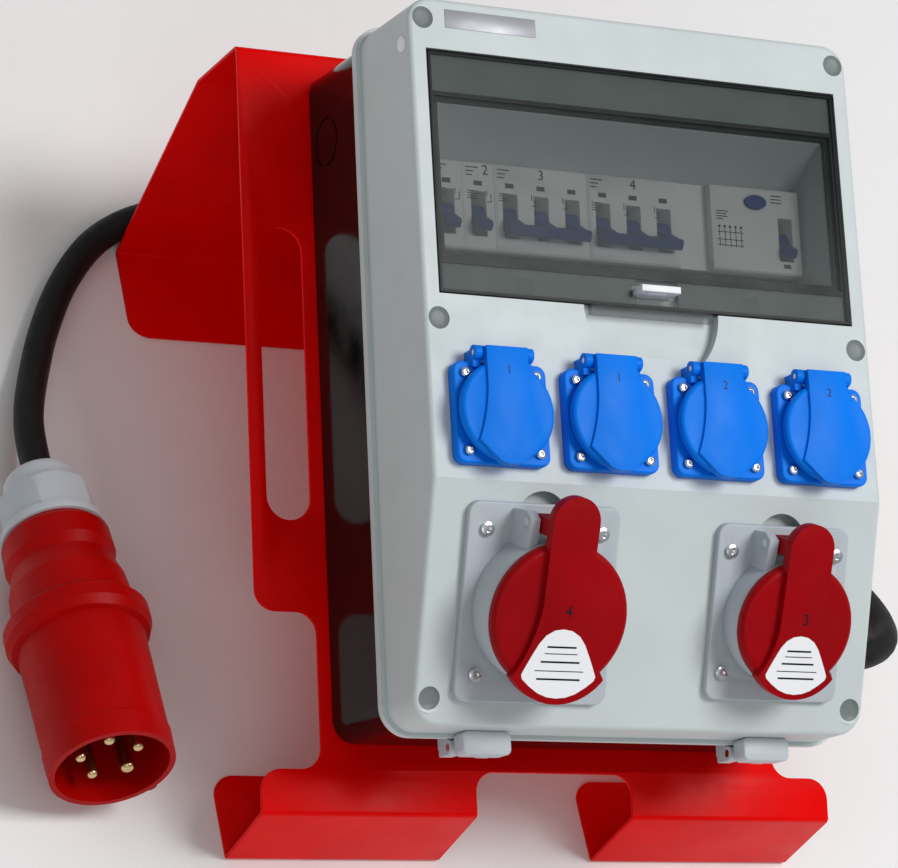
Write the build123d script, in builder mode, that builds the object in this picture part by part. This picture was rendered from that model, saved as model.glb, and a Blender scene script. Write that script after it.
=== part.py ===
from build123d import *
import math
import os

os.makedirs("parts", exist_ok=True)

# Portable power distribution box on a folded sheet stand, millimetres.
# Row frame: +X to the right of the person using it, +Y away from that person, +Z up.
# The stand lies on the floor on its two foot flanges and on the lip of its rear bracket,
# so the panel that carries the box leans back and faces up at the user.

# ---- overall sizes of the box, which the sizes below are tied to ----
base_width = 248.0
base_height = 347.0
base_depth = 61.5
base_foot = 52.5  # lower edge of the box, up the panel from the foot edge
box_centre = base_foot + base_height / 2

# ---- stand ----
panel_tilt = 20.0  # angle between the panel sheet and the floor
foot_drop = 48.0  # distance from the foot edge to the panel's upper face, square to the panel
sheet = 2.0
bend_radius = 3.0
panel_half_width = base_width / 2 + 39.0
panel_top = base_foot + base_height + 12.5  # every "up the panel" length starts at the foot edge
foot_flange = 47.0
bracket_knee = (panel_top - 26.0, 136.0)  # back and height of the bracket's upper bend
bracket_heel = panel_top - 42.0
bracket_lip = 56.0
waist_half_width = panel_half_width - 33.0
waist_low = 40.0
waist_high = 118.5
waist_radius = 11.0
foot_gap_half = 44.7
foot_gap_radius = 10.0
slot_width = 24.0
slot_low = 165.0
slot_high = base_foot + base_height - 83.0
slot_x = panel_half_width - 20.3
lip_corner = 12.0
bolt_x = 85.0
bolt_from_middle = 120.0
bolt_radius = 3.0
nut_radius = 5.5
nut_height = 5.0

# ---- enclosure base ----
base_wall = 3.0
base_corner = 12.0
seal_height = 0.5
seal_gap = 0.3
knock_out_radius = 13.0
knock_out_up = box_centre + base_height / 2 - 41.5
knock_out_height = 20.0

# ---- lid ----
lid_width = base_width + 3.0
lid_height = base_height + 7.0
lid_corner = 13.0
lid_wall = 3.0
flange_width = base_width + 8.0
flange_height = base_height + 11.0
flange_thickness = 4.7
knee = 162.0  # where the front face bends, up the panel
knee_height = 127.0  # height of that bend above the panel
upper_slope = 1.27
lower_slope = 16.6
cap_radius = 5.5
cap_x = base_width / 2 - 6.4
cap_above_knee = (base_foot + base_height - knee - 7.2, 78.4)
cap_below_knee = 105.2
tower_radius = 7.0
pilot_radius = 1.8
screw_shank_radius = 2.0
screw_sunk = 12.0  # how deep the lid screws' heads lie under the face
fit_gap = 0.1

# ---- window door ----
door_half_width = base_width / 2 - 7.9
door_low = 91.5  # above the knee
door_high = 214.2
door_thickness = 3.5
door_gap = 0.7
pocket_depth = 6.0
tongue_width = 68.0
tongue_drop = 5.0
finger_radius = 38.0
finger_depth = 25.5
window_half_width = base_width / 2 - 14.0
window_low = 113.0
window_high = 189.0
door_pin_radius = 1.5
catch_xs = (-68.0, 60.0)
padlock_x = 2.5

# ---- devices on the rail ----
row_above_knee = 145.0
module = 17.5
modules = 12
module_gap = 0.1
nose_height = 45.0
nose_front = knee_height - 29.7
shoulder = nose_front - 17.3
toggle_pivot = nose_front - 6.3
toggle_below_centre = 4.0
toggle_lean = 32.0
rail_base = nose_front - 61.3
rail_depth = 7.5
device_height = 80.0
terminal_from_centre = 31.0
cutout_clearance = 1.0
funnel_depth = 29.0
row_start = -modules * module / 2
rcd_step = 3.0  # how far the residual-current device stands out past the breakers
button_height = 1.6
bar_length = 110.0

# ---- blue earthed sockets ----
socket_pitch = 59.8
socket_above_knee = 31.25
socket_flange = 50.0
socket_screws = 38.0
socket_flange_height = 6.0
socket_collar_radius = 22.3
socket_collar_top = 9.5
socket_well_radius = socket_collar_radius - 2.5
socket_well_floor = -9.0
socket_back = -30.0
socket_lid_radius = socket_collar_radius + 2.7
socket_lid_thickness = 3.4
socket_pin = (28.5, 9.0)  # hinge pin: up the face and out of it
socket_pin_radius = 1.3
screw_head_height = 2.2
screw_length = 12.0

# ---- red industrial sockets: x, below knee, flange w, h, screws w, h, collar r, mouth height,
# ---- the lid pin's place up the face and out of it, and the top of the finger tab ----
cee_tilt = 5.0
cee_drop = 3.6
cee_flange_height = 4.0
cee_wall = 3.2
cee_back = 32.0
cee_lid_gap = 0.3
cee_pin_radius = 2.0
nose_gap = 8.0  # ring round the contacts that the plug's nose enters
ear_inner = 12.9
ear_thickness = 5.0
tongue_half = 12.3
cee_specs = {
    "cee_32": (-65.6, 58.0, 82.0, 96.0, 62.4, 69.8, 35.5, 23.0, 40.0, 18.0, 53.5),
    "cee_16": (68.5, 58.0, 75.0, 87.0, 60.0, 60.2, 31.0, 18.2, 35.5, 14.5, 46.0),
}

# ---- hinge between lid and base ----
hinge_x = 78.5
hinge_width = 26.0
hinge_up = base_foot - 9.5
hinge_height = base_depth + seal_height + seal_gap
hinge_pin_radius = 2.0
hinge_barrel = 3.6
running = 0.05
knuckle = 6.0
cover_height = 11.6

# ---- cable, gland and plug ----
cable_radius = 8.0
cable_rest = cable_radius + 0.2
gland_up = 100.0
gland_height = 32.0
gland_thread_radius = 16.0
gland_face = base_width / 2 + 17.0
plug_length = 181.0
plug_collar_radius = 37.0
plug_nose_radius = 31.5
plug_collar_at = 98.0
nut_end = 40.0
pin_circle = 15.0
pin_end = 176.0
earth_turn = 145.0  # where the thicker earth pin and the key stand round the plug's axis
plug_rear = (-panel_half_width - 77.0, 205.0, 25.4)
plug_mouth = (-panel_half_width - 73.0, 25.5, 47.4)

# ---- places worked out from the above ----
tilt = math.radians(panel_tilt)
front_reach = 8.5  # how far the lid's hinge covers stand out in front of the foot edge
foot_y = -(bracket_knee[0] - front_reach) / 2
panel = Plane(
    origin=(0, foot_y - foot_drop * math.sin(tilt), foot_drop * math.cos(tilt)),
    x_dir=(1, 0, 0),
    z_dir=(0, -math.sin(tilt), math.cos(tilt)),
)


def on(plane, x=0.0, y=0.0, z=0.0, turn_x=0.0):
    """The plane moved to a point of its own and turned about its own X."""
    moved = Plane(origin=plane.from_local_coords((x, y, z)), x_dir=plane.x_dir, z_dir=plane.z_dir)
    return moved.rotated((turn_x, 0, 0))


def side(plane, x=0.0):
    """A section plane across X: its x runs up the given plane, its y out of it."""
    return Plane(origin=plane.from_local_coords((x, 0, 0)), x_dir=plane.y_dir, z_dir=plane.x_dir)


upper_face = on(panel, 0, knee, knee_height, -upper_slope)
lower_face = on(panel, 0, knee, knee_height, lower_slope)
row_centre = knee + row_above_knee * math.cos(math.radians(upper_slope))
cap_places = [on(upper_face, x, y) for y in cap_above_knee for x in (-cap_x, cap_x)]
cap_places += [on(lower_face, x, -cap_below_knee) for x in (-cap_x, cap_x)]


def face_height(up):
    """Height of the lid's front face above the panel, at a place up the panel."""
    if up > knee:
        return knee_height - (up - knee) * math.tan(math.radians(upper_slope))
    return knee_height - (knee - up) * math.tan(math.radians(lower_slope))


# where the lid screws stand: x, up the panel, height of the face there
cap_spots = []
for cap_plane in cap_places:
    spot = panel.to_local_coords(cap_plane.origin)
    cap_spots.append((spot.X, spot.Y, spot.Z))


def save(part, name):
    part.label = name
    export_step(part, f"parts/{name}.step")


# ================= stand =================
bolt_spots = [(x, box_centre + y) for x in (-bolt_x, bolt_x) for y in (-bolt_from_middle, bolt_from_middle)]

panel_foot = panel.origin
sheet_line = [
    (foot_y + foot_flange, 0),
    (foot_y, 0),
    (foot_y, foot_drop / math.cos(tilt)),
    (panel_foot.Y + panel_top * math.cos(tilt), panel_foot.Z + panel_top * math.sin(tilt)),
    (foot_y + bracket_knee[0], bracket_knee[1]),
    (foot_y + bracket_heel, 0),
    (foot_y + bracket_heel - bracket_lip, 0),
]
with BuildPart() as stand_frame:
    with BuildSketch(Plane.YZ):
        with BuildLine():
            FilletPolyline(*sheet_line, radius=bend_radius)
            offset(amount=sheet, side=Side.RIGHT)
        make_face()
    extrude(amount=panel_half_width, both=True)
    # the waist on both sides
    waist = panel_half_width - waist_half_width
    with BuildSketch(panel):
        waist_x = waist_half_width + waist / 2
        with Locations((-waist_x, (waist_low + waist_high) / 2), (waist_x, (waist_low + waist_high) / 2)):
            Rectangle(waist, waist_high - waist_low)
    extrude(amount=2 * sheet, both=True, mode=Mode.SUBTRACT)
    # the gap between the feet
    with BuildSketch(panel):
        with Locations((0, waist_low / 2 - foot_flange / 2)):
            Rectangle(2 * foot_gap_half, waist_low + foot_flange)
    extrude(amount=-foot_drop - foot_flange / 2, mode=Mode.SUBTRACT)
    with BuildSketch(panel):
        with Locations((0, waist_low / 2 - foot_flange / 2)):
            Rectangle(2 * foot_gap_half, waist_low + foot_flange)
    extrude(amount=sheet, mode=Mode.SUBTRACT)
    with BuildSketch(Plane.XY):
        with Locations((0, foot_y + foot_flange / 2)):
            Rectangle(2 * foot_gap_half, foot_flange + 2 * sheet)
    extrude(amount=4 * sheet, mode=Mode.SUBTRACT)
    # hand slots and bolt holes
    with BuildSketch(panel):
        with Locations(*[(s * slot_x, (slot_low + slot_high) / 2) for s in (-1, 1)]):
            SlotOverall(slot_high - slot_low, slot_width, rotation=90)
        with Locations(*bolt_spots):
            Circle(bolt_radius + fit_gap)
    extrude(amount=2 * sheet, both=True, mode=Mode.SUBTRACT)

    def sheet_corners(x, up):
        """Edges through the sheet at a place on the panel, on both sides."""
        found = []
        for edge in stand_frame.edges().filter_by(GeomType.LINE):
            spot = panel.to_local_coords(edge.center())
            if abs(edge.length - sheet) < 0.05 and abs(abs(spot.X) - x) < 1 and abs(spot.Y - up) < 1:
                found.append(edge)
        return found

    fillet(
        [e for x in (waist_half_width, panel_half_width) for up in (waist_low, waist_high)
         for e in sheet_corners(x, up)],
        waist_radius,
    )
    fillet(sheet_corners(foot_gap_half, waist_low), foot_gap_radius)
    upright = stand_frame.edges().filter_by(Axis.Z).filter_by(lambda e: abs(e.length - sheet) < 0.05)
    fillet([e for e in upright if abs(e.center().X) > foot_gap_half - 1], lip_corner)
save(stand_frame.part, "stand_frame")

# ================= enclosure base =================
with BuildPart() as enclosure_base:
    with BuildSketch(panel):
        with Locations((0, box_centre)):
            RectangleRounded(base_width, base_height, base_corner)
    extrude(amount=base_depth)
    fillet(enclosure_base.faces().sort_by(Axis(panel.origin, panel.z_dir))[0].edges(), 2.0)
    with BuildSketch(on(panel, 0, box_centre, base_wall)):
        RectangleRounded(base_width - 2 * base_wall, base_height - 2 * base_wall, base_corner - base_wall)
    extrude(amount=base_depth, mode=Mode.SUBTRACT)
    # posts under the lid screws, joined to the walls
    with BuildSketch(panel):
        with Locations(*[(x, up) for x, up, _ in cap_spots]):
            Circle(tower_radius)
            Rectangle(2 * tower_radius, 2 * tower_radius)
        with Locations((0, box_centre)):
            RectangleRounded(base_width - 2, base_height - 2, base_corner - 1, mode=Mode.INTERSECT)
    extrude(amount=base_depth)
    with BuildSketch(on(panel, 0, 0, base_depth)):
        with Locations(*[(x, up) for x, up, _ in cap_spots]):
            Circle(4.5)
    extrude(amount=-3, mode=Mode.SUBTRACT)
    with BuildSketch(on(panel, 0, 0, base_depth - 3)):
        with Locations(*[(x, up) for x, up, _ in cap_spots]):
            Circle(pilot_radius)
    extrude(amount=-screw_sunk, mode=Mode.SUBTRACT)
    # rail supports
    with BuildSketch(panel):
        with Locations((-85, row_centre), (85, row_centre)):
            Rectangle(16, 24)
    extrude(amount=rail_base)
    # bolt holes, cable entry and a knock-out ring
    with BuildSketch(panel):
        with Locations(*bolt_spots):
            Circle(bolt_radius + fit_gap)
    extrude(amount=base_wall, mode=Mode.SUBTRACT)
    wall = Plane(
        origin=panel.from_local_coords((base_width / 2 - base_wall, gland_up, gland_height)),
        x_dir=panel.y_dir,
        z_dir=panel.x_dir,
    )
    with BuildSketch(wall):
        Circle(gland_thread_radius + fit_gap)
    extrude(amount=base_wall, mode=Mode.SUBTRACT)
    knock_out = Plane(
        origin=panel.from_local_coords((-base_width / 2, knock_out_up, knock_out_height)),
        x_dir=panel.y_dir,
        z_dir=panel.x_dir,
    )
    with BuildSketch(knock_out):
        Circle(knock_out_radius)
        Circle(knock_out_radius - 1.2, mode=Mode.SUBTRACT)
    extrude(amount=0.8, mode=Mode.SUBTRACT)
save(enclosure_base.part, "enclosure_base")

seal_plane = on(panel, 0, box_centre, base_depth)
with BuildPart() as lid_seal:
    with BuildSketch(seal_plane):
        RectangleRounded(base_width - 1.6, base_height - 1.6, base_corner - 0.8)
        RectangleRounded(base_width - 4.6, base_height - 4.6, base_corner - 2.3, mode=Mode.SUBTRACT)
    extrude(amount=seal_height)
    with BuildSketch(seal_plane):
        with Locations(*[(x, up - box_centre) for x, up, _ in cap_spots]):
            Circle(4.5)
    extrude(amount=seal_height, mode=Mode.SUBTRACT)
save(lid_seal.part, "lid_seal")

with BuildPart() as mounting_bolts:
    for spot_x, spot_up in bolt_spots:
        with BuildSketch(on(panel, spot_x, spot_up, base_wall)):
            Circle(6.5)
        extrude(amount=3.3)
        with BuildSketch(on(panel, spot_x, spot_up, base_wall)):
            Circle(bolt_radius)
        extrude(amount=-base_wall - sheet - 8)
        with BuildSketch(on(panel, spot_x, spot_up, -sheet)):
            RegularPolygon(nut_radius, 6)
        extrude(amount=-nut_height)
save(mounting_bolts.part, "mounting_bolts")

# ================= lid =================
lid_low = box_centre - lid_height / 2
lid_high = box_centre + lid_height / 2
flange_face = base_depth + seal_height + seal_gap


def lid_profile(inset):
    """Side outline of the lid, moved inwards by the inset."""
    low = lid_low + inset
    high = lid_high - inset
    return [
        (low, 0),
        (low, face_height(low) - inset / math.cos(math.radians(lower_slope))),
        (knee, knee_height - inset),
        (high, face_height(high) - inset),
        (high, 0),
    ]


def lid_block(inset):
    """The lid's outer or inner form, a closed block."""
    with BuildPart() as block:
        with BuildSketch(on(panel, 0, box_centre, flange_face)):
            RectangleRounded(lid_width - 2 * inset, lid_height - 2 * inset, lid_corner - inset)
        extrude(amount=knee_height)
        with BuildSketch(side(panel)):
            with BuildLine():
                Polyline(*lid_profile(inset), close=True)
            make_face()
        extrude(amount=lid_width, both=True, mode=Mode.INTERSECT)
        if inset == 0:
            front = block.faces().filter_by(
                lambda f: f.normal_at(f.center()).dot(panel.z_dir) > 0.9 and f.area > 2000
            )
            rim = [e for f in front for e in f.edges() if abs(panel.to_local_coords(e.center()).Y - knee) > 3]
            fillet(rim, 2.5)
    return block.part


socket_xs = [(i - 1.5) * socket_pitch for i in range(4)]

with BuildPart() as lid_shell:
    add(lid_block(0))
    with BuildSketch(on(panel, 0, box_centre, flange_face)):
        RectangleRounded(flange_width, flange_height, lid_corner + 2)
    extrude(amount=flange_thickness)
    add(lid_block(lid_wall), mode=Mode.SUBTRACT)
    with BuildSketch(on(panel, 0, box_centre, flange_face)):
        RectangleRounded(
            lid_width - 2 * lid_wall, lid_height - 2 * lid_wall, lid_corner - lid_wall
        )
    extrude(amount=flange_thickness, mode=Mode.SUBTRACT)
    # screw towers
    for cap_spot in cap_spots:
        with BuildSketch(on(panel, cap_spot[0], cap_spot[1], flange_face)):
            Circle(tower_radius)
        extrude(amount=cap_spot[2] - flange_face - 1.5)
    # walls of the door pocket, the window funnel and the finger scoop
    pocket_middle = (door_low + door_high) / 2
    with BuildSketch(on(upper_face, 0, pocket_middle, -1)):
        Rectangle(2 * (door_half_width + door_gap) + 4, door_high - door_low + 2 * door_gap + 4)
    extrude(amount=-pocket_depth - 1.5)
    with BuildSketch(on(upper_face, 0, (window_low + window_high) / 2, -pocket_depth)):
        Rectangle(2 * window_half_width + 6, window_high - window_low + 6)
    with BuildSketch(on(upper_face, 0, row_above_knee, -funnel_depth - 2.5)):
        Rectangle(modules * module + 2 * cutout_clearance + 6, nose_height + 2 * cutout_clearance + 6)
    loft()
    with BuildSketch(on(upper_face, 0, door_low, -1)):
        Circle(finger_radius + 2)
        with Locations((0, finger_radius)):
            Rectangle(4 * finger_radius, 2 * finger_radius, mode=Mode.SUBTRACT)
    extrude(amount=-pocket_depth - 1.5)
    # backing of the tab recesses above the industrial sockets
    for spec in cee_specs.values():
        with BuildSketch(on(lower_face, spec[0], -spec[1] + spec[3] / 2 - 8, -1)):
            Circle(16)
        extrude(amount=-8)
    # door pocket
    with BuildSketch(on(upper_face, 0, pocket_middle, 2)):
        Rectangle(2 * (door_half_width + door_gap), door_high - door_low + 2 * door_gap)
        with Locations((0, door_low - pocket_middle - door_gap - tongue_drop / 2)):
            Rectangle(tongue_width + 2 * door_gap, tongue_drop + 2 * door_gap)
    extrude(amount=-pocket_depth - 2, mode=Mode.SUBTRACT)
    with BuildSketch(on(upper_face, 0, door_low, 2)):
        Circle(finger_radius)
        with Locations((0, finger_radius)):
            Rectangle(4 * finger_radius, 2 * finger_radius, mode=Mode.SUBTRACT)
        with Locations((0, -finger_radius - finger_depth)):
            Rectangle(4 * finger_radius, 2 * finger_radius, mode=Mode.SUBTRACT)
    extrude(amount=-pocket_depth - 2, mode=Mode.SUBTRACT)
    # window funnel, open to the devices
    with BuildSketch(on(upper_face, 0, (window_low + window_high) / 2, -pocket_depth + 0.5)):
        Rectangle(2 * window_half_width, window_high - window_low)
    with BuildSketch(on(upper_face, 0, row_above_knee, -funnel_depth - 3)):
        Rectangle(modules * module + 2 * cutout_clearance, nose_height + 2 * cutout_clearance)
    loft(mode=Mode.SUBTRACT)
    # holes for the door's hinge pins
    with BuildSketch(side(on(upper_face, 0, door_high - 2.7, -1.6))):
        Circle(door_pin_radius + running)
    extrude(amount=door_half_width + 4, both=True, mode=Mode.SUBTRACT)
    # screw holes with their cap seats
    for cap_plane, cap_spot in zip(cap_places, cap_spots):
        with BuildSketch(on(panel, cap_spot[0], cap_spot[1], flange_face)):
            Circle(2.2)
        extrude(amount=knee_height, mode=Mode.SUBTRACT)
        with BuildSketch(on(panel, cap_spot[0], cap_spot[1], cap_spot[2] - screw_sunk)):
            Circle(4.3)
        extrude(amount=30, mode=Mode.SUBTRACT)
        with BuildSketch(on(cap_plane, 0, 0, -4)):
            Circle(cap_radius + fit_gap)
        extrude(amount=10, mode=Mode.SUBTRACT)
    # socket openings
    for socket_x in socket_xs:
        with BuildSketch(on(upper_face, socket_x, socket_above_knee, 1)):
            Circle(socket_collar_radius + 0.3)
            with GridLocations(socket_screws, socket_screws, 2, 2):
                Circle(1.6)
        extrude(amount=-lid_wall - 3, mode=Mode.SUBTRACT)
    for spec in cee_specs.values():
        with BuildSketch(on(lower_face, spec[0], -spec[1], 1)):
            with Locations((0, -cee_drop)):
                Circle(spec[6] + 3)
            with GridLocations(spec[4], spec[5], 2, 2):
                Circle(1.9)
        extrude(amount=-12, mode=Mode.SUBTRACT)
        with BuildSketch(on(lower_face, spec[0], -spec[1] + spec[3] / 2 - 8, 1)):
            Circle(14)
        extrude(amount=-7.5, mode=Mode.SUBTRACT)
save(lid_shell.part, "lid_shell")

with BuildPart() as lid_screws:
    for screw_x, screw_up, screw_face in cap_spots:
        with BuildSketch(on(panel, screw_x, screw_up, screw_face - screw_sunk)):
            Circle(4.0)
        extrude(amount=3)
        with BuildSketch(on(panel, screw_x, screw_up, base_depth - 2)):
            Circle(screw_shank_radius)
        extrude(amount=screw_face - screw_sunk - base_depth + 2)
save(lid_screws.part, "lid_screws")

with BuildPart() as screw_caps:
    for cap_plane in cap_places:
        with BuildSketch(on(cap_plane, 0, 0, -4)):
            Circle(cap_radius)
        extrude(amount=3.6)
save(screw_caps.part, "screw_caps")

# ================= window door =================
door_pivot = on(upper_face, 0, door_high - 2.7, -1.6)
with BuildPart() as window_door:
    with BuildSketch(on(upper_face, 0, pocket_middle, -door_thickness + 0.2)):
        Rectangle(2 * door_half_width, door_high - door_low)
        with Locations((0, door_low - pocket_middle - tongue_drop / 2)):
            Rectangle(tongue_width, tongue_drop + 0.02)
    extrude(amount=door_thickness)
    top_edges = window_door.edges().filter_by(Axis.X).sort_by(Axis((0, 0, 0), upper_face.y_dir))[-2:]
    fillet(top_edges, 1.2)
    # slot that the padlock eye stands through
    with BuildSketch(on(upper_face, padlock_x, door_low + 8.5, 2)):
        Rectangle(26, 7)
    extrude(amount=-door_thickness - 3, mode=Mode.SUBTRACT)
    with BuildSketch(side(door_pivot)):
        Circle(door_pin_radius)
    extrude(amount=door_half_width + 3, both=True)
save(window_door.part, "window_door")

with BuildPart() as door_catches:
    with BuildSketch(on(upper_face, 0, door_low + 7, -door_thickness + 0.2)):
        with Locations(*[(x, 0) for x in catch_xs]):
            Rectangle(9, 8)
    extrude(amount=-pocket_depth + door_thickness + 0.7)
save(door_catches.part, "door_catches")

with BuildPart() as window_seal:
    with BuildSketch(on(upper_face, 0, (window_low + window_high) / 2, -pocket_depth)):
        Rectangle(2 * window_half_width + 8, window_high - window_low + 6)
        Rectangle(2 * window_half_width + 1, window_high - window_low + 1, mode=Mode.SUBTRACT)
    extrude(amount=pocket_depth - door_thickness - 0.2)
save(window_seal.part, "window_seal")

with BuildPart() as padlock_eye:
    with BuildSketch(on(upper_face, padlock_x, door_low + 8.5, -pocket_depth)):
        Rectangle(22, 3.4)
    extrude(amount=pocket_depth + 7)
    with BuildSketch(Plane(origin=on(upper_face, padlock_x, door_low + 8.5, 3.6).origin,
                           x_dir=upper_face.x_dir, z_dir=upper_face.y_dir)):
        SlotOverall(12, 4)
    extrude(amount=4, both=True, mode=Mode.SUBTRACT)
save(padlock_eye.part, "padlock_eye")

# ================= rail and devices =================
with BuildPart() as din_rail:
    # hat section: a web on the supports, two uprights and two outer flanges
    with BuildSketch(side(on(panel, 0, row_centre, rail_base))):
        with Locations((0, 0.5)):
            Rectangle(27, 1)
        with Locations((-13, rail_depth / 2), (13, rail_depth / 2)):
            Rectangle(1, rail_depth)
        with Locations((-15.5, rail_depth - 0.5), (15.5, rail_depth - 0.5)):
            Rectangle(4, 1)
    extrude(amount=modules * module / 2 + 4, both=True)
save(din_rail.part, "din_rail")


def device_body(first, count, front, slots):
    """A rail device: first module, width in modules, height of its nose, toggle slots as x places."""
    left = row_start + first * module + module_gap / 2
    width = count * module - module_gap
    back = rail_base + rail_depth
    half = device_height / 2
    nose = nose_height / 2
    with BuildPart() as body:
        with BuildSketch(side(on(panel, left, row_centre, 0))):
            with BuildLine():
                Polyline(
                    (-half, back), (-half, shoulder - 6), (-half + 6, shoulder), (-nose, shoulder),
                    (-nose, front - 1), (-nose + 1, front), (nose - 1, front), (nose, front - 1),
                    (nose, shoulder), (half - 6, shoulder), (half, shoulder - 6), (half, back),
                    close=True,
                )
            make_face()
        extrude(amount=width)
        # toggle slots
        with BuildSketch(on(panel, 0, row_centre, front)):
            with Locations(*[(x, -toggle_below_centre) for x in slots]):
                Rectangle(8.4, 23)
        extrude(amount=toggle_pivot - front - 6.4, mode=Mode.SUBTRACT)
        # terminal screw wells in the shoulders
        with BuildSketch(on(panel, 0, row_centre, shoulder)):
            pole_left = left - module_gap / 2 + module / 2
            with Locations(*[
                (pole_left + i * module, s * terminal_from_centre) for i in range(count) for s in (-1, 1)
            ]):
                Circle(3.2)
        extrude(amount=-10, mode=Mode.SUBTRACT)
    return body.part


def toggle(slots, bar):
    """Levers on one spindle, leaning down the panel, joined by a bar when there are several poles."""
    pivot = on(panel, 0, row_centre - toggle_below_centre, toggle_pivot)
    with BuildPart() as lever:
        for x in slots:
            with BuildSketch(side(on(pivot, x - 3.9, 0, 0))):
                Circle(5.6)
            extrude(amount=7.8)
            with BuildSketch(side(on(pivot, x - 3.6, 0, 0, toggle_lean))):
                with Locations((0, 8)):
                    RectangleRounded(5.2, 16, 2)
            extrude(amount=7.2)
        if bar:
            left = min(slots) - 3.6
            with BuildSketch(side(on(pivot, left, 0, 0, toggle_lean))):
                with Locations((-1.0, 13.5)):
                    RectangleRounded(5.6, 5.0, 1.6)
            extrude(amount=max(slots) + 6.6 - left)
    return lever.part


breaker_poles = ((0, 1), (1, 1), (2, 3), (5, 3))
for number, (first, count) in enumerate(breaker_poles, 1):
    pole_xs = [row_start + (first + i + 0.5) * module for i in range(count)]
    save(device_body(first, count, nose_front, pole_xs), f"breaker_{number}_body")
    save(toggle(pole_xs, count > 1), f"breaker_{number}_toggle")

with BuildPart() as blanking_module:
    with BuildSketch(side(on(panel, row_start + 8 * module + module_gap / 2, row_centre, 0))):
        with Locations((0, (rail_base + rail_depth + nose_front - 2) / 2)):
            Rectangle(nose_height, nose_front - 2 - rail_base - rail_depth)
    extrude(amount=module - module_gap)
save(blanking_module.part, "blanking_module")

rcd_front = nose_front + rcd_step
rcd_toggle_x = row_start + 11.5 * module
button_x = row_start + 10.5 * module
button_up = row_centre + 14.5
with BuildPart() as rcd_body:
    add(device_body(9, 3, rcd_front, [rcd_toggle_x]))
    with BuildSketch(on(panel, button_x, button_up, rcd_front)):
        Ellipse(6.3, 3.8)
    extrude(amount=-5, mode=Mode.SUBTRACT)
save(rcd_body.part, "rcd_body")

with BuildPart() as test_button:
    with BuildSketch(on(panel, button_x, button_up, rcd_front - 3)):
        Ellipse(6.2, 3.7)
    extrude(amount=3 + button_height)
save(test_button.part, "test_button")
save(toggle([rcd_toggle_x], False), "rcd_toggle")

# ================= terminal bars =================
bar_ups = {"neutral_bar": row_centre - 62.0, "earth_bar": row_centre - 88.0}
with BuildPart() as terminal_carriers:
    for bar_up in bar_ups.values():
        with BuildSketch(on(panel, 0, bar_up, base_wall)):
            with Locations((-bar_length / 2 + 8, 0), (bar_length / 2 - 8, 0)):
                Rectangle(12, 12)
        extrude(amount=9)
save(terminal_carriers.part, "terminal_carriers")
for bar_name, bar_up in bar_ups.items():
    with BuildPart() as bar:
        with BuildSketch(on(panel, 0, bar_up, base_wall + 9)):
            RectangleRounded(bar_length, 9, 1)
            with GridLocations(9, 1, 11, 1):
                Circle(2.0, mode=Mode.SUBTRACT)
        extrude(amount=9)
    save(bar.part, bar_name)

# ================= blue earthed sockets =================
pin_up, pin_out = socket_pin


def socket_body(x):
    face = on(upper_face, x, socket_above_knee)
    with BuildPart() as body:
        with BuildSketch(face):
            RectangleRounded(socket_flange, socket_flange, 5)
        extrude(amount=socket_flange_height)
        rim = body.faces().sort_by(Axis(face.origin, face.z_dir))[-1].edges()
        fillet(rim, 1.2)
        with BuildSketch(face):
            Circle(socket_collar_radius)
        extrude(amount=socket_collar_top)
        with BuildSketch(face):
            Circle(socket_collar_radius)
        extrude(amount=socket_back)
        # hinge ears
        for ear_x in (-15.8, 11.4):
            with BuildSketch(side(on(face, ear_x, pin_up, pin_out))):
                Circle(3.6)
                with Locations((-2.6, -pin_out / 2)):
                    Rectangle(8.8, pin_out)
            extrude(amount=4.4)
        with BuildSketch(on(face, 0, 0, socket_collar_top)):
            Circle(socket_well_radius)
        extrude(amount=socket_well_floor - socket_collar_top, mode=Mode.SUBTRACT)
        # contact holes, screw holes and the pin's bore
        with BuildSketch(on(face, 0, 0, socket_well_floor)):
            with Locations((-9.5, 0), (9.5, 0)):
                Circle(2.6)
        extrude(amount=-16, mode=Mode.SUBTRACT)
        with BuildSketch(face):
            with GridLocations(socket_screws, socket_screws, 2, 2):
                Circle(1.6)
        extrude(amount=socket_flange_height, mode=Mode.SUBTRACT)
        with BuildSketch(side(on(face, 0, pin_up, pin_out))):
            Circle(socket_pin_radius)
        extrude(amount=20, both=True, mode=Mode.SUBTRACT)
        # notches that hold the two earth clips
        with BuildSketch(on(face, 0, 0, socket_well_floor)):
            with Locations((0, -socket_well_radius), (0, socket_well_radius)):
                Rectangle(7, 4)
        extrude(amount=14, mode=Mode.SUBTRACT)
    return body.part


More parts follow.
